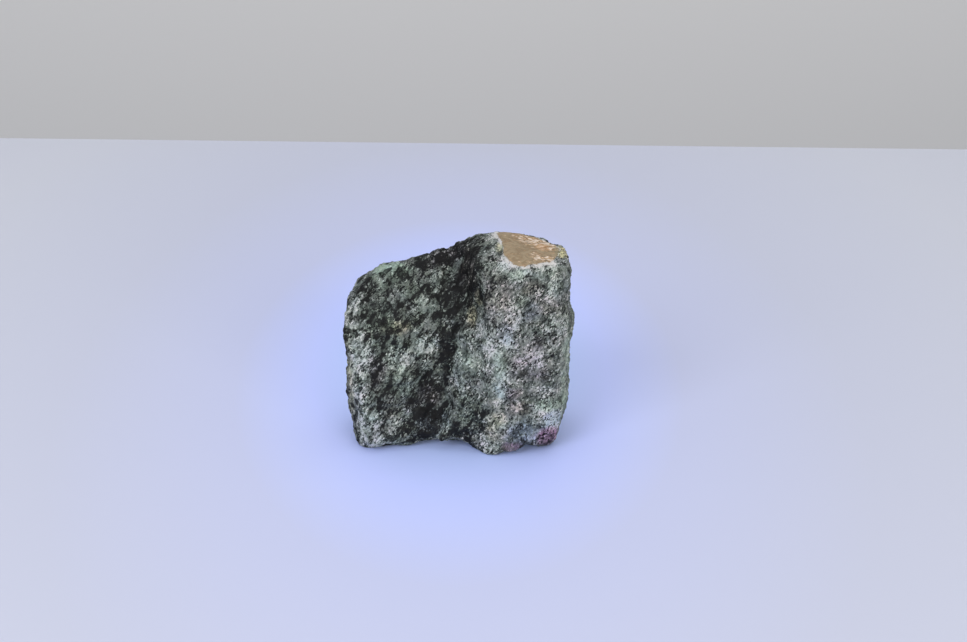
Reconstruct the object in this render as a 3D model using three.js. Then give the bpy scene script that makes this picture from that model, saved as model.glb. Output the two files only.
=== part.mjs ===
// A rough stone of ruby zoisite: one natural piece, standing on a small flat spot.
// Millimetres, +Z up. The origin is on the surface it stands on, under the middle of the stone.
// The broken front looks along -Y. On the left is a broad slab, and on the right a thicker
// block that comes forward; a scoop-like break runs down between them, over a low buttress.
import * as THREE from "three";
import { mergeVertices } from "three/addons/utils/BufferGeometryUtils.js";
import { ImprovedNoise } from "three/addons/math/ImprovedNoise.js";

// Driving dimensions
const arrisRounding = 0.8; // how softly two breaks meet
const scoopRounding = 1.2; // how softly the slab, the buttress and the block run together
const chipRounding = 0.6; // how softly a chip's rim is worn
const footRounding = 0.3; // how softly the skin turns under, into the flat that it stands on
const heart = new THREE.Vector3(9, -3, 26); // a point deep inside, that the skin is drawn around
const outside = 70; // no point of the stone is as far from its heart
const startEgg = new THREE.Vector3(35, 17, 32); // half sizes of the egg that the skin grows from
const meshDetail = 21; // splits of each edge of the icosahedron that the skin starts from
const eveningPasses = 30; // how often the skin's points are spaced out
const gathering = 6; // how strongly the points gather where the skin turns

// Relief of the broken skin: [size of the swells, height], the middle one drawn out along the grain
const broadSwell = [24, 1.2];
const grainSwell = [8, 1.3];
const fineSwell = [4.6, 0.75];
const grainStretch = 2.2; // how much longer the middle swells are along the grain than across it
const blockEvenness = 0.6; // how much of the relief the block has, next to the slab
const grainRun = new THREE.Vector3(0.55, 0.2, 0.81).normalize(); // the way the dark bands run

// One flat break: the way it faces, and a point that it passes through.
function flatBreak(facing, through) {
  const normal = new THREE.Vector3(...facing).normalize();
  return { normal, distance: normal.dot(new THREE.Vector3(...through)) };
}

const underside = flatBreak([0, 0, -1], [0, 0, -0.5]);
const jointFace = flatBreak([0.1, -0.1, 1], [20, -6, 62]);
const blockFront = flatBreak([0.04, -1, 0.05], [18, -20.4, 5]);
const leftFlank = flatBreak([-0.33, -1, 0.03], [9.5, -20.4, 20]);

const blockBreaks = [
  underside,
  jointFace,
  blockFront,
  leftFlank,
  flatBreak([-1, -0.34, 0.02], [8, -17.5, 52]), // left wall
  flatBreak([-0.5, 0.05, 1], [8.9, 2, 63.2]), // left shoulder
  flatBreak([-0.4, -0.5, 1], [14.5, -12, 61.9]), // chamfer in front of the joint face
  flatBreak([0.25, -0.45, 1], [27, -12, 61.2]), // chamfer to its right
  flatBreak([0.8, -0.6, 0.02], [31.6, -16, 25]), // right front
  flatBreak([1, 0.05, 0.02], [32.9, -5, 30]), // right
  flatBreak([1, 0, -0.28], [31.4, -5, 9]), // right, undercut
  flatBreak([0.5, -1, -0.75], [25, -19.3, 2.6]), // right front, undercut
  flatBreak([0.05, 1, 0.35], [15, 5.2, 61.5]), // back
  flatBreak([0.6, 1, 0.25], [29, 0.5, 60]), // right back
  flatBreak([0.12, 1, -0.45], [12, 18, 18]), // lower back
];

const buttressBreaks = [
  underside,
  blockFront,
  leftFlank,
  flatBreak([-1, -0.45, 0.3], [-2, -15.5, 25]), // left
  flatBreak([-0.45, -0.3, 1], [5, -18, 39]), // top
  flatBreak([1, 0, 0], [16, 0, 20]), // where it is grown into the block
  flatBreak([0, 1, 0], [5, 6, 20]), // where it is grown into the slab
];

const slabBreaks = [
  underside,
  flatBreak([0.2, -1, 0.16], [-20, -17.3, 6]), // front
  flatBreak([0.1, -1, -1.1], [-20, -17.6, 3.2]), // front, undercut
  flatBreak([0.1, -1, 0.75], [-20, -10.5, 38]), // front, leaning back
  flatBreak([-1, 0.12, -0.02], [-34.6, -8, 28]), // left
  flatBreak([-1, 0, -0.35], [-34.2, -8, 8]), // left, undercut
  flatBreak([-0.8, -0.6, -0.05], [-31.3, -16, 25]), // left front
  flatBreak([-0.3, 0.15, 1], [-14, 3, 54.7]), // top
  flatBreak([-0.8, 0, 0.75], [-30.4, 0, 47.2]), // top left
  flatBreak([-0.15, 1, 0.22], [-12, 12, 40]), // back
  flatBreak([0.3, 1, 0.5], [0, 7, 57]), // back of the crest
  flatBreak([-0.6, 1, 0.05], [-28, 11, 25]), // left back
  flatBreak([0.1, 1, -0.5], [-12, 16.4, 14]), // lower back
  flatBreak([1, 0, 0.2], [18, 0, 30]), // where it is grown into the block
];

// Egg-shaped hollows where chips have broken away, and lumps left standing: [middle, half sizes].
const chips = [
  [[-7, -18.5, -2], [12, 9, 6.2]], // arch under the scoop
  [[-2, -19, -1.5], [4.6, 7, 6.6]], // notch beside the right foot
  [[14.5, -21.5, -0.4], [3.4, 5, 1.9]], // small arches under the right foot
  [[20.8, -20.5, -0.2], [3.4, 5, 2.6]],
  [[-7, -16.6, 23], [5, 5.5, 15]], // seam between the slab and the buttress
  [[36.3, -3, 45], [3.6, 9, 4]], // right side, over the lump
  [[-16, 26, 26], [22, 13, 20]], // shallow hollows in the back
  [[22, 24, 38], [15, 12.5, 16]],
];
const lumps = [
  [[30.2, -4, 38.6], [4.2, 8, 4.6]], // on the right side
];

const noise = new ImprovedNoise();
const noiseAt = (p, size) => noise.noise(p.x / size, p.y / size, p.z / size);

// The largest of some values, blended where two are nearly equal.
const softLargest = (values, softness) =>
  softness * Math.log(values.reduce((sum, v) => sum + Math.exp(v / softness), 0));

const beyond = (flat, p) => flat.normal.dot(p) - flat.distance;

const outsideBreaks = (breaks, p) =>
  softLargest(breaks.map((flat) => beyond(flat, p)), arrisRounding);

function outsideEgg([middle, halfSizes], p) {
  const scaled = new THREE.Vector3(...middle).sub(p).divide(new THREE.Vector3(...halfSizes));
  return (scaled.length() - 1) * Math.min(...halfSizes);
}

// How far the skin lies under the even breaks, for its swells. The joint face stays nearly even.
function relief(p) {
  const alongGrain = grainRun.dot(p) * (1 - 1 / grainStretch);
  const drawnOut = p.clone().addScaledVector(grainRun, -alongGrain);
  const swells =
    broadSwell[1] * noiseAt(p, broadSwell[0]) +
    grainSwell[1] * noiseAt(drawnOut, grainSwell[0]) +
    fineSwell[1] * noiseAt(p, fineSwell[0]);
  const onBlock = THREE.MathUtils.smoothstep(p.x, 0, 12);
  const underJoint = THREE.MathUtils.smoothstep(-beyond(jointFace, p), 0.3, 4);
  return swells * THREE.MathUtils.lerp(1, blockEvenness, onBlock) * (0.1 + 0.9 * underJoint);
}

// Below zero inside the stone, and about the distance to its skin in millimetres.
function stoneField(p) {
  const standing = [
    outsideBreaks(blockBreaks, p),
    outsideBreaks(slabBreaks, p),
    outsideBreaks(buttressBreaks, p),
    ...lumps.map((lump) => outsideEgg(lump, p)),
  ];
  const whole = -softLargest(standing.map((v) => -v), scoopRounding);
  const chipped = softLargest([whole, ...chips.map((chip) => -outsideEgg(chip, p))], chipRounding);
  return softLargest([chipped + relief(p), -p.z], footRounding);
}

// The place on the skin that a ray from the heart comes out at.
function skinAlong(direction) {
  let reach = outside;
  const p = new THREE.Vector3();
  for (let step = 0; step < 60; step += 1) {
    p.copy(heart).addScaledVector(direction, reach);
    reach -= stoneField(p) * 0.7;
  }
  return p;
}

// Moves p straight towards the skin.
function ontoSkin(p) {
  const probe = 0.05;
  const slope = new THREE.Vector3();
  for (let step = 0; step < 2; step += 1) {
    const here = stoneField(p);
    ["x", "y", "z"].forEach((axis) => {
      const beside = p.clone();
      beside[axis] += probe;
      slope[axis] = (stoneField(beside) - here) / probe;
    });
    p.addScaledVector(slope, -here / Math.max(slope.lengthSq(), 0.3));
  }
  return p;
}

// For each point of the skin, the points that share an edge with it.
function neighboursOf(index, count) {
  const neighbours = Array.from({ length: count }, () => new Set());
  for (let i = 0; i < index.length; i += 3) {
    for (let corner = 0; corner < 3; corner += 1) {
      const a = index[i + corner];
      const b = index[i + ((corner + 1) % 3)];
      neighbours[a].add(b);
      neighbours[b].add(a);
    }
  }
  return neighbours.map((set) => [...set]);
}

// The middle of some of the points, each with its own weight.
function middleOf(points, members, weightOf) {
  const middle = new THREE.Vector3();
  let total = 0;
  members.forEach((j) => {
    middle.addScaledVector(points[j], weightOf(j));
    total += weightOf(j);
  });
  return middle.divideScalar(total);
}

function stoneGeometry() {
  const ball = new THREE.IcosahedronGeometry(1, meshDetail);
  ball.deleteAttribute("normal");
  ball.deleteAttribute("uv");
  const skin = mergeVertices(ball);
  const places = skin.getAttribute("position");
  const neighbours = neighboursOf(skin.index.array, places.count);
  let points = neighbours.map((_, i) =>
    skinAlong(new THREE.Vector3().fromBufferAttribute(places, i).multiply(startEgg).normalize()),
  );
  for (let pass = 0; pass < eveningPasses; pass += 1) {
    const middles = points.map((_, i) => middleOf(points, neighbours[i], () => 1));
    const turns = middles.map((middle) => Math.abs(stoneField(middle))); // skin's depth over each
    points = points.map((p, i) => {
      const drawn = middleOf(points, neighbours[i], (j) => 1 + gathering * turns[j]);
      return ontoSkin(drawn.lerp(p, 0.3));
    });
  }
  const flatness = 0.03; // points as near the flat as this are on it
  points.forEach((p, i) => places.setXYZ(i, p.x, p.y, p.z < flatness ? 0 : p.z));
  skin.computeBoundingBox();
  const middle = skin.boundingBox.getCenter(new THREE.Vector3());
  skin.translate(-middle.x, -middle.y, 0);
  skin.computeVertexNormals();
  return skin;
}

const stone = new THREE.Mesh(
  stoneGeometry(),
  new THREE.MeshStandardMaterial({ color: 0x6f7a70, roughness: 0.75, metalness: 0 }),
);
stone.name = "stone";

const group = new THREE.Group();
group.add(stone);
export default group;
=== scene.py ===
import math

import bmesh
import bpy
from mathutils import Matrix, Vector, noise


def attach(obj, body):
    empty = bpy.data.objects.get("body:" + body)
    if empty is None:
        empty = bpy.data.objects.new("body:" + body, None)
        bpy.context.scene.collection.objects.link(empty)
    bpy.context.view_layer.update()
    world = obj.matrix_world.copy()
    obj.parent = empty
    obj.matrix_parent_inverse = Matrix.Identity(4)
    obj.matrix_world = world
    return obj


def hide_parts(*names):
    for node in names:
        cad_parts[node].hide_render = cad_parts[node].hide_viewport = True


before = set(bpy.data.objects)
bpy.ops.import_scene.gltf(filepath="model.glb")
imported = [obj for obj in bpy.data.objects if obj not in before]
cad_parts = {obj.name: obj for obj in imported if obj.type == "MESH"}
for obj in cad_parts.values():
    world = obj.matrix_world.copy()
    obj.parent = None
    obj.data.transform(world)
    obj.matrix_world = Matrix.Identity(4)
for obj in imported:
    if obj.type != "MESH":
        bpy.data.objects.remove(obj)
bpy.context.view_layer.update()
mm = 0.001
print("frame loaded")


# "#8a9b8c" as seen on a screen, to the linear colour that a shader wants
def linear(hexColour):
    seen = [int(hexColour[i : i + 2], 16) / 255 for i in (1, 3, 5)]
    return [c / 12.92 if c <= 0.04045 else ((c + 0.055) / 1.055) ** 2.4 for c in seen] + [1]


# adds a node with its settings; each input is given a value, or the node or socket that feeds it
# (a Mix takes its share at input 0, and two colours at inputs 6 and 7)
def addNode(tree, kind, inputs=None, **settings):
    node = tree.nodes.new("ShaderNode" + kind)
    for name, value in settings.items():
        setattr(node, name, value)
    for socket, source in (inputs or {}).items():
        if isinstance(source, bpy.types.Node):
            source = next(output for output in source.outputs if output.enabled)
        if isinstance(source, bpy.types.NodeSocket):
            tree.links.new(source, node.inputs[socket])
        else:
            node.inputs[socket].default_value = source
    return node


# 0 at low, 1 at high, and a smooth rise between them
def smoothStep(low, high, value):
    t = min(1, max(0, (value - low) / (high - low)))
    return t * t * (3 - 2 * t)


# where the rock changes, in mm
rock = {
    "grainRun": Vector((0.55, 0.2, 0.81)).normalized(),  # the way that the dark bands run
    "spotFade": (0.55, 1.25),  # the shares of a spot's size that it fades out between
    "raggedness": 0.45,  # how far a spot's rim wanders, as a share of its size
    "raggedSize": 5.0,
    "raggedFractal": (1, 2, 3),  # smoothness, step from octave to octave and number of octaves
    "slabEdge": (4, 10),  # x between which the slab's kind of rock gives way to the block's
    "slabWander": (3, 9),  # how far that edge wanders, and the size of its waves
    "buttressReach": 8,  # how much further left the block's kind of rock goes on the buttress
    "buttressHeight": 28,
    "buttressFade": (8, 14),  # how far above and below that height the reach fades out
    # each spot is its middle, its half sizes and how strong it is
    "kinds": {
        # black hornblende, most of it in the scoop and along the seam under it, and painted shade in the
        # hollow beside the block's foot
        "hornblendeAndShade": [
            ((3.2, -8.5, 50), (6, 12, 11), 0.88),  # wall of the scoop
            ((6, -12.5, 57), (2.4, 4, 3), 0.6),
            ((4, -3.5, 59.5), (4.4, 11, 3.6), 0.95),
            ((-2, -4.5, 44.5), (5.4, 9, 10), 0.93),
            ((-4.3, -9, 32), (2.9, 6, 11.5), 1.0),  # seam
            ((-8.5, -11, 18.5), (3.8, 6, 6.5), 1.1),
            ((-10.5, -13, 10), (5.5, 6, 8), 1.1),
            # painted shade: these two spots darken the hollow beside the block's foot, where shade falls
            ((4.8, -18, 12), (3, 6, 5), 0.85),  # beside the block's foot
            ((3.5, -18, 5.5), (3.1, 6, 3.5), 0.89),
            ((1.8, -16.4, 21), (2.8, 5, 8), 0.45),  # buttress
            ((0.6, -17, 12), (3.4, 5, 4), 0.3),
            ((7.4, -14.6, 46), (2.2, 4, 3), 0.5),
            ((2.8, -14.4, 38.4), (2, 4, 2.6), 0.5),
            ((-5, 5, 55.6), (10, 8, 4), 0.93),  # crest
            ((-12.6, -1, 49.4), (3.6, 6, 2.6), 0.45),
            ((-27, -2.4, 48), (3.6, 4, 2.6), 0.85),  # slab
            ((-20.2, -0.6, 51), (2.1, 4, 2.4), 0.75),
            ((-19, -2.6, 47.6), (6.5, 4, 2.8), 0.4),
            ((-26, -6.5, 43.2), (4, 6, 4), 0.8),
            ((-24.4, -9.8, 38.8), (4.4, 6, 4), 0.9),
            ((-19.6, -8, 41), (6, 7, 4), 0.65),
            ((-13.8, -6.8, 40.8), (3, 6, 4.6), 0.75),
            ((-12.4, -11.8, 26.4), (2.4, 4, 3), 0.7),
            ((-21.8, -12.4, 29.8), (2, 4, 2.4), 0.7),
            ((-31.6, -12.5, 35.4), (2.4, 4, 2.2), 0.7),
            ((-25.6, -13.4, 28), (2.6, 5, 5.5), 0.55),
            ((-28, -15.8, 18.6), (2, 4, 2), 0.5),
            ((-23.6, -16, 13.6), (3, 4, 2), 0.45),
            ((-19, -14.5, 17), (7, 6, 6), 0.35),
            ((12, -17, 55.6), (4, 4, 3), 0.25),  # block
            ((12.9, -18.3, 47.9), (2, 3, 2), 0.3),
            ((21.4, -19.8, 3.6), (3.4, 5, 2.4), 0.3),
            ((20, -17.2, 57), (3.6, 3, 2), 0.5),
            ((20, -17.5, 52.6), (6, 4, 4.4), 0.22),
            ((26, -18, 38.4), (4, 4, 2.6), 0.35),
            ((22, -19.6, 18), (8, 5, 3.4), 0.45),
            ((15.6, -19.6, 27.5), (3.6, 4, 4), 0.25),
            ((14.2, -20.2, 16.2), (2, 3, 2), 0.35),
            ((20, 15.5, 25), (12, 9, 14), 0.6),  # back
            ((-22, 16.5, 20), (9, 9, 9), 0.5),
            ((33, 6.5, 20), (6, 9, 9), 0.4),
        ],
        # mostly zoisite, pale and crumbly; two spots at the feet are also painted light
        "pale": [
            ((-29.8, -13.3, 32.2), (3.2, 5, 6), 1.35),  # left edge
            ((-31, -14.3, 23), (3.2, 5, 6.5), 1.25),
            ((-32.4, -6, 41), (2.9, 7, 6), 0.9),
            ((-22, 3.6, 52.4), (8, 5, 2.4), 0.9),  # shoulder
            ((-6.4, -2.3, 47.3), (1.6, 3, 1.6), 0.8),
            ((-9.6, -9.4, 32), (3.5, 5, 5.2), 1.4),  # middle of the slab
            ((-17.4, -12.4, 28.4), (4.4, 6, 4), 1.2),
            ((-11.5, -4.5, 44.7), (5, 5, 2.4), 0.3),
            ((-11.2, -7.2, 39.8), (1.8, 4, 2.2), 0.6),
            # paler rock and painted light: the slab's foot is made paler still to lift the shade on its
            # down-turned face
            ((-28.4, -16.5, 7), (6, 5, 9), 1.2),  # slab's foot
            ((-21.6, -17, 4.4), (4, 6, 3), 0.85),
            ((9.5, 1.4, 63.2), (2.6, 3, 1.6), 1.0),  # along the joint face
            ((11.3, -4, 62.8), (2, 5, 2), 0.9),
            ((14.4, -14, 60.2), (3.4, 4.5, 2.4), 1.0),
            ((17.4, -16.6, 58.6), (4, 4, 2.2), 0.7),
            ((25.5, -14, 59.6), (5.5, 3, 1.8), 0.9),
            ((26.3, -17.2, 51.6), (1.6, 3, 2.8), 1.4),  # block
            ((17.6, -20, 15.8), (1.8, 3, 1.6), 0.8),
            ((24.6, -16.8, 57), (3.4, 3, 1.8), 0.5),
            ((24, -17.6, 48.4), (2.2, 3, 2.4), 0.6),
            ((15.4, -18.9, 45.6), (3.4, 4, 4.4), 0.85),
            ((21, -18.9, 32), (5.5, 4, 3.4), 0.55),
            ((27.2, -18.8, 13), (4.4, 5, 4.6), 1.2),
            ((22.4, -19.7, 7), (3.6, 4, 2.6), 0.7),
            ((11, -20.2, 9.5), (4.4, 4, 5), 0.42),
            ((7.4, -19, 3.8), (2.6, 4, 3), 0.7),
            # partly painted light: paler here to lift the shade near the table at the block's right foot
            ((29, -16, 4.6), (2, 5, 3), 0.6),
            ((31.4, -15.5, 29), (2.2, 5, 16), 0.6),
            ((8.8, -18.7, 36), (3, 4, 4.6), 1.15),  # along the block's left arris
            ((13, -19.3, 37), (2.4, 4, 3), 0.85),
            ((11.2, -19.7, 24), (2, 4, 8), 0.9),
            ((5.4, -15.6, 40), (2.6, 4, 3), 0.7),  # buttress
            ((3.5, -10.2, 41.8), (1.8, 4, 2.4), 0.6),
            ((3.6, -16, 32), (4, 5, 4), 0.35),
            ((-1.2, -14, 22.6), (2.4, 5, 5), 0.7),
            ((-20, 14.5, 40), (10, 9, 8), 0.6),  # back
            ((14, 12.5, 45), (9, 8, 9), 0.5),
        ],
        # fine-grained and green
        "green": [
            ((-22, 2, 52), (8, 6, 3.6), 1.0),  # shoulder
            ((-19, -9, 34), (14, 10, 22), 0.3),  # slab
            ((-23, -2.4, 48.8), (4, 4, 3), 0.7),
            ((-12, -5, 44), (8, 8, 5), 0.4),
            ((-16, -13, 22), (5, 6, 7), 0.6),
            ((0, -14, 29), (5, 6, 10), 0.4),  # buttress
            ((2, -17.5, 14), (3, 5, 5), 0.6),
            ((27.4, -19, 16.5), (4.4, 4, 2.4), 0.7),  # block
            ((28, -16, 54), (3, 4, 5), 0.5),
            ((17.4, -16.6, 58), (4, 4, 2.4), 0.6),
            ((12, -19.6, 29), (2.6, 4, 10), 0.5),
            ((33, -11.5, 20), (4, 8, 22), 0.6),  # right side
            ((28, 12.5, 40), (9, 9, 12), 0.5),
        ],
        # bluish where the grains are finest
        "slate": [
            ((13.5, -19.4, 39.7), (2.6, 4, 3.6), 0.5),
            ((12.5, -19.7, 22), (3, 4, 3), 0.4),
            ((19.6, -19.8, 7.4), (7, 5, 5), 1.0),
            ((27.4, -19, 11.6), (3.4, 4, 2.6), 0.75),
            ((-8, -15, 10), (5, 5, 4), 0.5),
            ((21, -18, 46), (3, 4, 3), 0.4),
            ((10, 17, 30), (10, 8, 8), 0.6),  # back
        ],
        # yellow-green crumbs on the buttress, and the stain at the joint face's right end
        "moss": [
            ((5.5, -12, 48), (1.6, 4, 3), 0.8),
            ((3.9, -10.7, 42), (2, 4, 3), 0.8),
            ((-18.4, -9.8, 38), (4.4, 5, 2.6), 0.6),
            ((-34.2, -9, 18), (2.4, 8, 16), 0.5),  # left side
            ((-20, -15.5, 12), (3, 4, 2.4), 0.3),
            ((10.6, -20.2, 9.4), (4, 4, 5), 0.45),
            ((30.8, -6.5, 60.6), (2.6, 4, 2.5), 1.2),
            ((12.2, -6, 62.4), (1.2, 3, 2), 0.7),
        ],
        # dull pink where fine corundum is mixed in
        "rose": [
            ((21, -18.8, 31), (7, 6, 8), 0.4),
            ((16.5, -20.1, 21.1), (3, 4, 3), 0.6),
            ((-4.5, 5, 56.5), (8, 7, 4), 0.35),
            ((-9, -12, 16), (4, 5, 5), 0.4),
            ((-24.5, -13.6, 26), (3, 5, 4.6), 0.4),
            ((-5, 18.5, 22), (12, 8, 10), 0.5),
        ],
        "ruby": [
            ((26.8, -18.2, 4.8), (3.6, 5, 3.8), 0.9),
            ((15.2, -20.5, 3.2), (3.8, 4, 1.8), 0.65),
            ((22, 3.5, 6), (6, 20, 5), 0.4),
            ((-8, 19.5, 16), (4.5, 5, 4), 0.9),
        ],
        "rust": [
            ((21, -17.7, 53.9), (3.4, 4, 2.8), 0.55),
            ((10.5, -17, 51), (5, 5, 9), 0.45),
            ((2, -5, 54), (6, 9, 7), 0.8),
            ((26.7, -17.1, 48.2), (3, 4, 3), 0.35),
            ((17.5, -19.9, 16), (3.4, 4, 2.8), 0.7),
            ((25.2, -4.6, 61.5), (2.4, 2.2, 3), 0.8),  # joint face
        ],
        # too fine-grained to show single crystals
        "even": [
            ((32.4, -13.6, 20), (2.4, 6, 18), 1.0),  # right front
            ((-24, 4, 52), (5, 5, 2.4), 0.6),  # shoulder
        ],
        # where flakes of the joint face have lifted
        "flakes": [
            ((19.5, 1.6, 62.5), (4.5, 1.8, 3), 0.8),
            ((24, -1.2, 62), (4.5, 2.4, 3), 1.0),
            ((26.6, -4.6, 61.3), (4, 3, 3), 0.8),
            ((22.5, -9, 61.2), (1.8, 1.6, 3), 0.6),
            ((26, -11.5, 60.4), (4, 1.8, 3), 0.8),
        ],
    },
}


# how much of a kind of rock is at p: a spot's strength in its middle, 0 outside its ragged rim
def amountAt(p, kind, ragged):
    most = 0
    for middle, halfSizes, strength in rock["kinds"][kind]:
        offset = [(p[i] - middle[i]) / halfSizes[i] for i in range(3)]
        outward = Vector(offset).length + ragged
        most = max(most, strength * (1 - smoothStep(*rock["spotFade"], outward)))
    return most


# how much of the slab's kind of rock is at p: 1 in the slab, 0 in the block
def slabAt(p):
    offButtress = abs(p.z - rock["buttressHeight"])
    reach = rock["buttressReach"] * (1 - smoothStep(*rock["buttressFade"], offButtress))
    wander, size = rock["slabWander"]
    return 1 - smoothStep(*rock["slabEdge"], p.x + reach + wander * noise.noise(p / size))


# the old joint that the stone split along, a tan face on top
jointFace = {
    # its rim from above, anticlockwise, in mm
    "rim": [
        (11, 3), (11.4, 0.6), (12.4, -2.1), (12.9, -4.5), (13, -8), (13, -10.2), (14.2, -12.4),
        (15.3, -14.1), (16.7, -15.7), (17.8, -16.2), (19.6, -16), (21.4, -15.3), (23.1, -14.7),
        (25.2, -13.6), (27.3, -12.4), (28.6, -10.8), (29.3, -8.4), (30.1, -5.8), (29.9, -3.9),
        (28.6, -2.4), (26.8, -0.7), (24.4, 0.8), (21.6, 2.3), (18.7, 3.9), (16.1, 4.5), (13.5, 4.4),
    ],
    "lowest": 59.3,  # nothing lower belongs to it
    "wellOutside": -10,  # what counts as the distance to it from lower down
    "rimWander": (0.5, 2.6),  # height and size of the rim's waves
    "rimFractal": (0.7, 2, 4),
    "fade": (-0.4, 0.3),  # mm inside the rim between which the broken skin gives way to it
    "flakeSize": (3.2, 0.9, 1.2),
    "flakeStep": 0.15,  # from one layer of flakes to the next
    "flakeLayers": 3,  # at most above the face, and as many below it
}


# mm inside the joint face's rim, less than 0 outside it
def insideJoint(p):
    if p.z < jointFace["lowest"]:
        return jointFace["wellOutside"]
    rim = [Vector(corner) for corner in jointFace["rim"]]
    here = Vector((p.x, p.y))
    nearest = math.inf
    inside = False
    for a, b in zip(rim, rim[1:] + rim[:1]):
        along = min(1, max(0, (here - a).dot(b - a) / (b - a).length_squared))
        nearest = min(nearest, (here - a - (b - a) * along).length)
        if (a.y > here.y) != (b.y > here.y):
            if here.x < a.x + (here.y - a.y) / (b.y - a.y) * (b.x - a.x):
                inside = not inside
    height, size = jointFace["rimWander"]
    wander = height * noise.fractal(p / size, *jointFace["rimFractal"])
    return (nearest if inside else -nearest) + wander


# the broken skin, in mm; each pair is a size and a height
skin = {
    "weldWithin": 0.001,
    "rounds": 2,  # times that every edge of the CAD's skin is halved
    "smoothing": 0.5,
    "evening": 0.5,  # how far each point then goes to the middle of its neighbours, as a share
    "stretch": 2.2,  # of the clots along the grain
    "clots": (3.4, 0.38),  # hornblende clots and the hollows between them
    "clotFractal": (0.9, 2, 3),
    "crystals": (1.5, 0.3),
    "crystalEdge": 0.35,  # width of the groove between two crystals, as a share of their size
    "crystalSteps": 0.5,  # how far a crystal stands up or down, as a share of that height
    "lotSpread": 7.3,  # takes crystals far enough apart for each to draw its own lot
    "crumbs": (0.9, 0.12),
    "pits": (2.6, 0.45),  # where a crystal has dropped out
    "pitRange": (0.25, 0.55),  # the noise that a pit begins at, and is deepest from
    "pitShift": Vector((9, 4, 2)),  # keeps the pits' pattern apart from the crumbs'
    "blockEvenness": 0.6,  # the block's front is the more even one
    "blockSide": (2, 12),  # x between which that begins
    "blockFront": (5, -5),  # and y
    "raised": 0.08,  # all of the broken skin, so that its heights and hollows balance
    # where an arris is a little sharper, or a swell a little lower: place, radius and height
    "touches": [
        ((-24.2, 6, 52.2), 5, 0.9),  # corner of the slab's shoulder
        ((-33.6, 0, 44.6), 5, 0.6),
        ((-5, 8, 57), 8, 0.6),
        ((31.5, -10, 57), 7, 0.6),
        ((-34, -4, 36), 6, -0.6),
        ((0, -18.5, 5), 5, -1.0),  # arch
    ],
    "footFade": 1.2,  # mm above the flat spot, over which the skin becomes rough
}


# how far the skin stands out at p, in mm
def reliefAt(p, joint, flaking):
    run = rock["grainRun"]
    drawnOut = p - run * run.dot(p) * (1 - 1 / skin["stretch"])
    size, clotHeight = skin["clots"]
    clots = noise.fractal(drawnOut / size, *skin["clotFractal"])
    size, crystalHeight = skin["crystals"]
    apart, places = noise.voronoi(p / size)
    slope = min(apart[1] - apart[0], skin["crystalEdge"]) / skin["crystalEdge"]
    crystal = slope - 1 + skin["crystalSteps"] * noise.cell(places[0] * skin["lotSpread"])
    size, crumbHeight = skin["crumbs"]
    crumbs = noise.noise(p / size)
    size, pitDepth = skin["pits"]
    pit = smoothStep(*skin["pitRange"], noise.noise(p / size + skin["pitShift"]))
    calming = (1 - skin["blockEvenness"]) * smoothStep(*skin["blockSide"], p.x)
    even = 1 - calming * smoothStep(*skin["blockFront"], p.y)
    broken = even * (clotHeight * clots - pitDepth * pit) + crystalHeight * crystal + crumbHeight * crumbs
    broken += skin["raised"]
    for place, radius, rise in skin["touches"]:
        broken += rise * (1 - smoothStep(0, radius, (p - Vector(place)).length))
    # flakes lie in layers, so their height goes in steps
    flake = noise.noise(Vector([p[i] / jointFace["flakeSize"][i] for i in range(3)]))
    flat = flaking * jointFace["flakeStep"] * math.floor(jointFace["flakeLayers"] * flake + 0.5)
    onJoint = smoothStep(*jointFace["fade"], joint)
    return broken * (1 - onJoint) + flat * onJoint


def makeStone():
    bm = bmesh.new()
    bm.from_mesh(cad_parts["stone"].data)
    bmesh.ops.remove_doubles(bm, verts=bm.verts, dist=skin["weldWithin"] * mm)
    for _ in range(skin["rounds"]):
        bmesh.ops.subdivide_edges(
            bm, edges=bm.edges, cuts=1, use_grid_fill=True, smooth=skin["smoothing"]
        )
    bmesh.ops.smooth_vert(
        bm, verts=bm.verts, factor=skin["evening"], use_axis_x=True, use_axis_y=True, use_axis_z=True
    )
    bm.normal_update()
    layers = {name: bm.verts.layers.float.new(name) for name in (*rock["kinds"], "joint", "slab")}
    moves = []
    for v in bm.verts:
        p = v.co / mm
        ragged = rock["raggedness"] * noise.fractal(p / rock["raggedSize"], *rock["raggedFractal"])
        for kind in rock["kinds"]:
            v[layers[kind]] = amountAt(p, kind, ragged)
        v[layers["joint"]] = insideJoint(p)
        v[layers["slab"]] = slabAt(p)
        foot = smoothStep(0, skin["footFade"], p.z)
        relief = reliefAt(p, v[layers["joint"]], v[layers["flakes"]])
        moves.append(v.normal * relief * foot * mm)
    for v, move in zip(bm.verts, moves):
        v.co += move
        v.co.z = max(v.co.z, 0)  # the underside stays on the table
    for face in bm.faces:
        face.smooth = True
    mesh = bpy.data.meshes.new("roughStone")
    bm.to_mesh(mesh)
    bm.free()
    stone = bpy.data.objects.new("roughStone", mesh)
    bpy.context.scene.collection.objects.link(stone)
    print("stone shaped:", len(mesh.polygons), "faces")
    return stone


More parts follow.
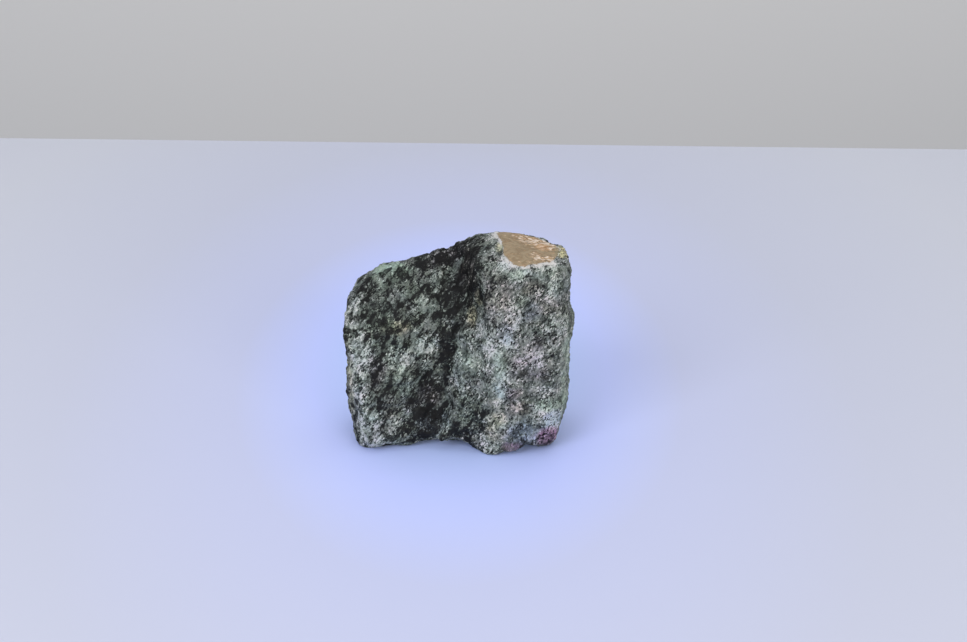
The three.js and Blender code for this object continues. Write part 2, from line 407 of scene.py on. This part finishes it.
# Ruby zoisite, also called anyolite: a metamorphic rock of small grey-green zoisite crystals with
# black hornblende and a little ruby, split and not worked. Its broken crystals make it dull and
# finely speckled all over. Hornblende gathers in soft-edged clots and bands, and the old joint is
# coated with satin tan clay minerals.
zoisite = {
    "crystalSize": 0.37,  # mm, that of a small real crystal
    "crystalStretch": 1.7,  # along the grain
    "clotStretch": 2.2,
    "streakStretch": (2.4, 1.1, 1.5),
    "waver": (0.7, 0.7, 0.7),  # mm that crystals and streaks are pushed about
    # each Scale is how many of the noise's waves go to a mm
    "noises": {
        "waver": {"Scale": 1.6, "Detail": 2},
        "fine": {"Scale": 1 / 0.36, "Detail": 2, "Roughness": 0.6},  # grains over the crystals
        "clots": {"Scale": 1 / 2.0, "Detail": 3, "Roughness": 0.5},
        "clouds": {"Scale": 1 / 7.0, "Detail": 3},
        "patches": {"Scale": 1 / 3.6, "Detail": 2},
        "hues": {"Scale": 1 / 5.0, "Detail": 3},
        "crumbling": {"Scale": 0.45, "Detail": 4},
        "coat": {"Scale": 0.35, "Detail": 5, "Distortion": 1.5},
        "streaks": {"Scale": 1.8, "Detail": 3, "Roughness": 0.6},
    },
    # tone, from 0, black, to 1, white, and what each kind of rock adds to it
    "tone": 0.5,
    "zones": {
        "hornblendeAndShade": -0.33, "slab": -0.16, "pale": 0.24, "green": 0.09, "moss": 0.2, "ruby": -0.1,
        "rust": -0.04, "slate": -0.04,
    },
    "clouds": 0.4,  # what a cloud adds at most
    # from the middle of a clot, dark, to the gaps between clots
    "clotted": {"From Min": 0.37, "From Max": 0.55, "To Min": -0.68, "To Max": 0.38},
    "clotTone": {"To Min": 0.23, "To Max": 0.46},  # how much that counts, from the block to the slab
    # each crystal's own tone
    "darkGrains": (0.3, 0.36),  # their share of all crystals, and how much darker they are
    "paleGrains": (0.14, 0.34),
    "grainBlur": 0.08,  # how far dark and pale crystals run into the others, as a share
    "crystalTone": 0.16,  # how much all crystals differ besides
    "fineTone": 0.5,
    "grainMiddle": -0.27,  # brings the whole back to about 0
    # how much the crystals count, from the block to the slab, and what each kind of rock adds to it
    "contrast": {"To Min": 0.87, "To Max": 0.7},
    "contrastZones": {
        "hornblendeAndShade": 0.3, "green": -0.2, "slate": -0.15, "pale": 0.3, "ruby": -0.1, "even": -0.5,
    },
    # they count less in some patches than in others
    "patchContrast": {"From Min": 0.35, "From Max": 0.65, "To Min": 0.55, "To Max": 1.5},
    # colours by tone
    "ramp": [
        (0.0, "#0d0e0d"), (0.22, "#212321"), (0.42, "#4d544e"), (0.6, "#727973"),
        (0.8, "#99a09a"), (1.0, "#c2c4c1"),
    ],
    "tints": {
        "green": "#6b7b6d", "slate": "#687480", "moss": "#797559", "rose": "#756b73",
        "ruby": "#694d5f", "rust": "#6d675f",
    },
    "tintShare": {"To Min": 0.55, "To Max": 1.0},  # of a tint, from one crystal to another
    "hueDrift": 0.12,  # from patch to patch
    "crystalHue": 0.015,  # from crystal to crystal
    # a crumbly rim around the joint face, in places wide and in places gone
    "rim": "#cccac5",
    "rimWidths": {"crumbling": 3.2, "fine": 1.6, "pale": 0.9},  # mm that each adds to it
    "rimEdge": {"From Min": 2.1, "From Max": 2.6, "To Max": 0.95},
    # the joint face
    "jointFray": 1.2,  # mm that its edge is frayed
    "jointEdge": {"From Min": 0.6, "From Max": 0.8},
    "tan": "#96866a",
    "tanDark": "#837156",
    "coatSteps": {"From Min": 0.4, "From Max": 0.6},
    "flaking": 0.2,  # how much more of the coat has lifted where there are flakes
    "warm": "#b28b61",
    "warmFrom": {"From Min": 0.58, "From Max": 0.72},
    "cream": "#cfc3b2",
    "creamFrom": {"From Min": 0.66, "From Max": 0.74},
    "crack": "#594c3c",
    "crackFrom": {"From Min": 0.43, "From Max": 0.38},
    "stain": 0.6,  # how much of the moss and rust stains takes on it
    # the surface
    "relief": 0.16,  # mm
    "darkWear": 0.6,  # how much lower the dark crystals have worn, as a share of it
    "calm": {"To Min": 1.0, "To Max": 0.08},  # share of the relief, from broken skin to joint face
    "roughness": {"To Min": 0.6, "To Max": 0.42},  # from broken skin to joint face
    "ior": 1.69,
    "specularLevel": 0.12,  # low, for a broken skin traps most of its shine
}


# the places and patterns that the rest of the stone is mixed from
def layPatterns(tree):
    z = zoisite
    noises = z["noises"]
    place = addNode(tree, "TexCoord").outputs["Object"]
    inMm = addNode(tree, "Mapping", {"Vector": place, "Scale": (1 / mm,) * 3})
    # a place that wavers keeps crystals from being straight-edged
    waver = addNode(tree, "TexNoise", {"Vector": inMm, **noises["waver"]}).outputs["Color"]
    wavering = addNode(
        tree, "VectorMath", {0: waver, 1: z["waver"], 2: inMm}, operation="MULTIPLY_ADD"
    )
    turn = rock["grainRun"].to_track_quat("X", "Z").to_euler()
    alongGrain = {
        stretch: addNode(
            tree, "Mapping", {"Vector": source, "Rotation": turn, "Scale": (z[stretch], 1, 1)},
            vector_type="TEXTURE",
        )
        for stretch, source in (("crystalStretch", wavering), ("clotStretch", inMm))
    }
    crystals = addNode(
        tree, "TexVoronoi", {"Vector": alongGrain["crystalStretch"], "Scale": 1 / z["crystalSize"]}
    ).outputs["Color"]
    lots = addNode(tree, "SeparateColor", {0: crystals}).outputs  # three that each crystal draws
    blur = z["grainBlur"]
    dark = z["darkGrains"][0]
    pale = 1 - z["paleGrains"][0]
    return {
        "inMm": inMm,
        "wavering": wavering,
        "crystals": crystals,
        "lots": lots,
        "fine": addNode(tree, "TexNoise", {"Vector": inMm, **noises["fine"]}),
        "clots": addNode(tree, "TexNoise", {"Vector": alongGrain["clotStretch"], **noises["clots"]}),
        "darkGrain": addNode(
            tree, "MapRange", {"Value": lots[0], "From Min": dark + blur, "From Max": dark - blur}
        ),
        "paleGrain": addNode(
            tree, "MapRange", {"Value": lots[0], "From Min": pale - blur, "From Max": pale + blur}
        ),
    }


# tone, from black to white: clots and kinds of rock, and each crystal's own
def mixTone(tree, amount, laid):
    z = zoisite
    clotTone = addNode(tree, "MapRange", {"Value": amount["slab"], **z["clotTone"]})
    clotted = addNode(
        tree, "MapRange", {"Value": laid["clots"], **z["clotted"]}, interpolation_type="SMOOTHSTEP"
    )
    clouds = addNode(tree, "TexNoise", {"Vector": laid["inMm"], **z["noises"]["clouds"]})
    base = z["tone"] - z["clouds"] / 2  # for a noise is about a half
    tone = addNode(tree, "Math", {0: clotted, 1: clotTone, 2: base}, operation="MULTIPLY_ADD")
    zones = [(amount[kind], weight) for kind, weight in z["zones"].items()]
    for source, weight in (*zones, (clouds, z["clouds"])):
        tone = addNode(tree, "Math", {0: source, 1: weight, 2: tone}, operation="MULTIPLY_ADD")
    grain = addNode(
        tree, "Math", {0: laid["fine"], 1: z["fineTone"], 2: z["grainMiddle"]}, operation="MULTIPLY_ADD"
    )
    for source, weight in (
        (laid["lots"][1], z["crystalTone"]),
        (laid["darkGrain"], -z["darkGrains"][1]),
        (laid["paleGrain"], z["paleGrains"][1]),
    ):
        grain = addNode(tree, "Math", {0: source, 1: weight, 2: grain}, operation="MULTIPLY_ADD")
    contrast = addNode(tree, "MapRange", {"Value": amount["slab"], **z["contrast"]})
    for kind, weight in z["contrastZones"].items():
        contrast = addNode(
            tree, "Math", {0: amount[kind], 1: weight, 2: contrast}, operation="MULTIPLY_ADD"
        )
    patches = addNode(tree, "TexNoise", {"Vector": laid["inMm"], **z["noises"]["patches"]})
    patchy = addNode(tree, "MapRange", {"Value": patches, **z["patchContrast"]})
    contrast = addNode(tree, "Math", {0: contrast, 1: patchy}, operation="MULTIPLY")
    return addNode(tree, "Math", {0: grain, 1: contrast, 2: tone}, operation="MULTIPLY_ADD")


# the broken rock's colour
def colourRock(tree, amount, laid):
    z = zoisite
    tone = mixTone(tree, amount, laid)
    rockColour = linear(z["ramp"][0][1])
    for (low, _), (high, hexColour) in zip(z["ramp"], z["ramp"][1:]):
        step = addNode(tree, "MapRange", {"Value": tone, "From Min": low, "From Max": high})
        rockColour = addNode(tree, "Mix", {0: step, 6: rockColour, 7: linear(hexColour)}, data_type="RGBA")
    # tints keep the tone, and take some crystals more than others
    share = addNode(tree, "MapRange", {"Value": laid["lots"][2], **z["tintShare"]})
    for kind, hexColour in z["tints"].items():
        tint = addNode(tree, "Math", {0: amount[kind], 1: share}, operation="MULTIPLY")
        rockColour = addNode(
            tree, "Mix", {0: tint, 6: rockColour, 7: linear(hexColour)},
            data_type="RGBA", blend_type="COLOR",
        )
    hues = addNode(tree, "TexNoise", {"Vector": laid["wavering"], **z["noises"]["hues"]}).outputs["Color"]
    for source, strength in ((hues, z["hueDrift"]), (laid["crystals"], z["crystalHue"])):
        rockColour = addNode(
            tree, "Mix", {0: strength, 6: rockColour, 7: source},
            data_type="RGBA", blend_type="OVERLAY",
        )
    crumbling = addNode(tree, "TexNoise", {"Vector": laid["inMm"], **z["noises"]["crumbling"]})
    widths = {"crumbling": crumbling, "fine": laid["fine"], "pale": amount["pale"]}
    rimming = amount["joint"]
    for name, weight in z["rimWidths"].items():
        rimming = addNode(tree, "Math", {0: widths[name], 1: weight, 2: rimming}, operation="MULTIPLY_ADD")
    rim = addNode(tree, "MapRange", {"Value": rimming, **z["rimEdge"]})
    return addNode(tree, "Mix", {0: rim, 6: rockColour, 7: linear(z["rim"])}, data_type="RGBA")


# the joint face's colour: a tan coat, flakes drawn out along it, cracks and stains
def colourJoint(tree, amount, laid):
    z = zoisite
    coat = addNode(tree, "TexNoise", {"Vector": laid["inMm"], **z["noises"]["coat"]})
    drawnOut = addNode(
        tree, "Mapping", {"Vector": laid["wavering"], "Scale": z["streakStretch"]}, vector_type="TEXTURE"
    )
    streaks = addNode(tree, "TexNoise", {"Vector": drawnOut, **z["noises"]["streaks"]})
    flaking = addNode(
        tree, "Math", {0: amount["flakes"], 1: z["flaking"], 2: streaks}, operation="MULTIPLY_ADD"
    )
    crack = addNode(tree, "MapRange", {"Value": streaks, **z["crackFrom"]})
    layers = [
        (addNode(tree, "MapRange", {"Value": coat, **z["coatSteps"]}), "tan"),
        (addNode(tree, "MapRange", {"Value": flaking, **z["warmFrom"]}), "warm"),
        (addNode(tree, "MapRange", {"Value": flaking, **z["creamFrom"]}), "cream"),
        (addNode(tree, "Math", {0: crack, 1: amount["flakes"]}, operation="MULTIPLY"), "crack"),
    ]
    jointColour = linear(z["tanDark"])
    for share, name in layers:
        jointColour = addNode(tree, "Mix", {0: share, 6: jointColour, 7: linear(z[name])}, data_type="RGBA")
    stains = (("moss", z["tints"]["moss"]), ("rust", z["warm"]))
    for kind, hexColour in stains:
        stain = addNode(tree, "Math", {0: amount[kind], 1: z["stain"]}, operation="MULTIPLY")
        jointColour = addNode(
            tree, "Mix", {0: stain, 6: jointColour, 7: linear(hexColour)}, data_type="RGBA"
        )
    return jointColour


def makeZoisite():
    material = bpy.data.materials.new("rubyZoisite")
    material.use_nodes = True
    tree = material.node_tree
    tree.nodes.clear()
    z = zoisite
    names = (*rock["kinds"], "joint", "slab")
    amount = {name: addNode(tree, "Attribute", attribute_name=name).outputs["Fac"] for name in names}
    laid = layPatterns(tree)
    frayed = addNode(
        tree, "Math", {0: laid["fine"], 1: z["jointFray"], 2: amount["joint"]}, operation="MULTIPLY_ADD"
    )
    onJoint = addNode(tree, "MapRange", {"Value": frayed, **z["jointEdge"]})
    rockColour = colourRock(tree, amount, laid)
    jointColour = colourJoint(tree, amount, laid)
    finished = addNode(tree, "Mix", {0: onJoint, 6: rockColour, 7: jointColour}, data_type="RGBA")
    # small relief: crystals at heights of their own, the dark ones worn lower, and fine grains over them
    height = laid["lots"][1]
    for source, weight in ((laid["fine"], 1.0), (laid["darkGrain"], -z["darkWear"])):
        height = addNode(tree, "Math", {0: source, 1: weight, 2: height}, operation="MULTIPLY_ADD")
    calm = addNode(tree, "MapRange", {"Value": onJoint, **z["calm"]})
    height = addNode(tree, "Math", {0: height, 1: calm}, operation="MULTIPLY")
    bump = addNode(tree, "Bump", {"Height": height, "Distance": z["relief"] * mm, "Strength": 1.0})
    roughness = addNode(tree, "MapRange", {"Value": onJoint, **z["roughness"]})
    surface = addNode(
        tree, "BsdfPrincipled",
        {
            "Base Color": finished, "Roughness": roughness, "IOR": z["ior"],
            "Specular IOR Level": z["specularLevel"], "Normal": bump,
        },
    )
    addNode(tree, "OutputMaterial", {"Surface": surface})
    print("zoisite mixed:", len(tree.nodes), "nodes")
    return material


stone = makeStone()
stone.data.materials.append(makeZoisite())
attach(stone, "root")
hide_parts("stone")

# the place that it is shown in, in metres where nothing else is said
studio = {
    "aim": Vector((0, 0, 0.030)),  # a point inside the stone
    "cameraDistance": 0.4948,
    "cameraRaised": 24,  # degrees over the table
    "lens": 60,  # mm, on a sensor as wide as the next
    "sensorWidth": 36,
    "offset": (7.4, 5.4),  # mm at the aim, by which the stone stands off the picture's middle
    "tableSize": (3.2, 1.5),
    "tableFarEdge": 0.3,
    "tableTurn": 3.2,  # degrees
    # the table's colour by how far off the stone it is, in m: a painted pool of bluish light around the
    # stone, fading out to the plain pale floor
    "tablePaintedLight": [
        (0.035, "#bdd0ff"), (0.05, "#c2ceff"), (0.075, "#c2c8e3"), (0.13, "#c4c8d7"),
        (0.22, "#cbced6"),
    ],
    "tableMiddle": (0, 0.05, 0),  # that distance is measured from here
    "tableStretch": (1, 1.9, 1),  # and counts for less from front to back
    "wallSize": (6, 3),
    "wallPlace": 0.9,
    "wall": "#cfcfcd",
    "paintRoughness": 0.6,
    # each lamp's place, size, watts and colour
    "lamps": {
        "keyLeft": ((-0.55, -0.8, 0.65), 0.6, 6.8, "#ebecfb"),
        "keyRight": ((0.45, -0.95, 0.32), 0.6, 4.8, "#fff8ee"),
        "overhead": ((0.1, 0.3, 1.3), 1.2, 4.6, "#f4f6ff"),
    },
    "air": "#f0f1f6",
    "airStrength": 0.645,
}


def addSheet(name, size, place, hexColour):
    bm = bmesh.new()
    shape = place @ Matrix.Diagonal((*size, 1, 1))
    bmesh.ops.create_grid(bm, x_segments=1, y_segments=1, size=0.5, matrix=shape)
    mesh = bpy.data.meshes.new(name)
    bm.to_mesh(mesh)
    bm.free()
    sheet = bpy.data.objects.new(name, mesh)
    bpy.context.scene.collection.objects.link(sheet)
    material = bpy.data.materials.new(name + "Paint")
    material.use_nodes = True
    paint = material.node_tree.nodes["Principled BSDF"].inputs
    paint["Base Color"].default_value = linear(hexColour)
    paint["Roughness"].default_value = studio["paintRoughness"]
    mesh.materials.append(material)
    return material.node_tree


def makeStage():
    turn = Matrix.Rotation(-math.radians(studio["tableTurn"]), 4, "Z")
    middle = studio["tableFarEdge"] - studio["tableSize"][1] / 2
    place = turn @ Matrix.Translation((0, middle, 0))
    # the tabletop's paint holds a painted pool of bluish light, strongest next to the stone
    colours = studio["tablePaintedLight"]
    tree = addSheet("tabletop", studio["tableSize"], place, colours[0][1])
    here = addNode(tree, "TexCoord").outputs["Object"]
    offset = addNode(
        tree, "Mapping",
        {"Vector": here, "Location": studio["tableMiddle"], "Scale": studio["tableStretch"]},
        vector_type="TEXTURE",
    )
    away = addNode(tree, "VectorMath", {0: offset}, operation="LENGTH").outputs["Value"]
    blend = linear(colours[0][1])
    for (near, _), (far, hexColour) in zip(colours, colours[1:]):
        step = addNode(tree, "MapRange", {"Value": away, "From Min": near, "From Max": far})
        blend = addNode(tree, "Mix", {0: step, 6: blend, 7: linear(hexColour)}, data_type="RGBA")
    tree.links.new(blend.outputs["Result"], tree.nodes["Principled BSDF"].inputs["Base Color"])
    upright = Matrix.Rotation(math.radians(90), 4, "X")
    place = Matrix.Translation((0, studio["wallPlace"], 0)) @ upright
    addSheet("wall", studio["wallSize"], place, studio["wall"])
    print("stage set")


def makeLights():
    for name, (spot, size, watts, hexColour) in studio["lamps"].items():
        lamp = bpy.data.lights.new(name, "AREA")
        lamp.size = size
        lamp.energy = watts
        lamp.color = linear(hexColour)[:3]
        light = bpy.data.objects.new(name, lamp)
        light.location = spot
        light.rotation_euler = (studio["aim"] - light.location).to_track_quat("-Z", "Y").to_euler()
        bpy.context.scene.collection.objects.link(light)
    world = bpy.data.worlds.new("room")
    world.use_nodes = True
    air = world.node_tree.nodes["Background"].inputs
    air["Color"].default_value = linear(studio["air"])
    air["Strength"].default_value = studio["airStrength"]
    bpy.context.scene.world = world
    print("lights set")


def makeCamera():
    lens = bpy.data.cameras.new("camera")
    lens.lens = studio["lens"]
    lens.sensor_width = studio["sensorWidth"]
    camera = bpy.data.objects.new("camera", lens)
    raised = math.radians(studio["cameraRaised"])
    back = Vector((0, -math.cos(raised), math.sin(raised)))
    up = Vector((0, math.sin(raised), math.cos(raised)))
    camera.location = studio["aim"] + back * studio["cameraDistance"]
    right, lift = studio["offset"]
    aim = studio["aim"] + (Vector((1, 0, 0)) * right + up * lift) * mm
    camera.rotation_euler = (aim - camera.location).to_track_quat("-Z", "Y").to_euler()
    bpy.context.scene.collection.objects.link(camera)
    bpy.context.scene.camera = camera
    bpy.context.scene.view_settings.view_transform = "Standard"
    print("camera set")


makeStage()
makeLights()
makeCamera()
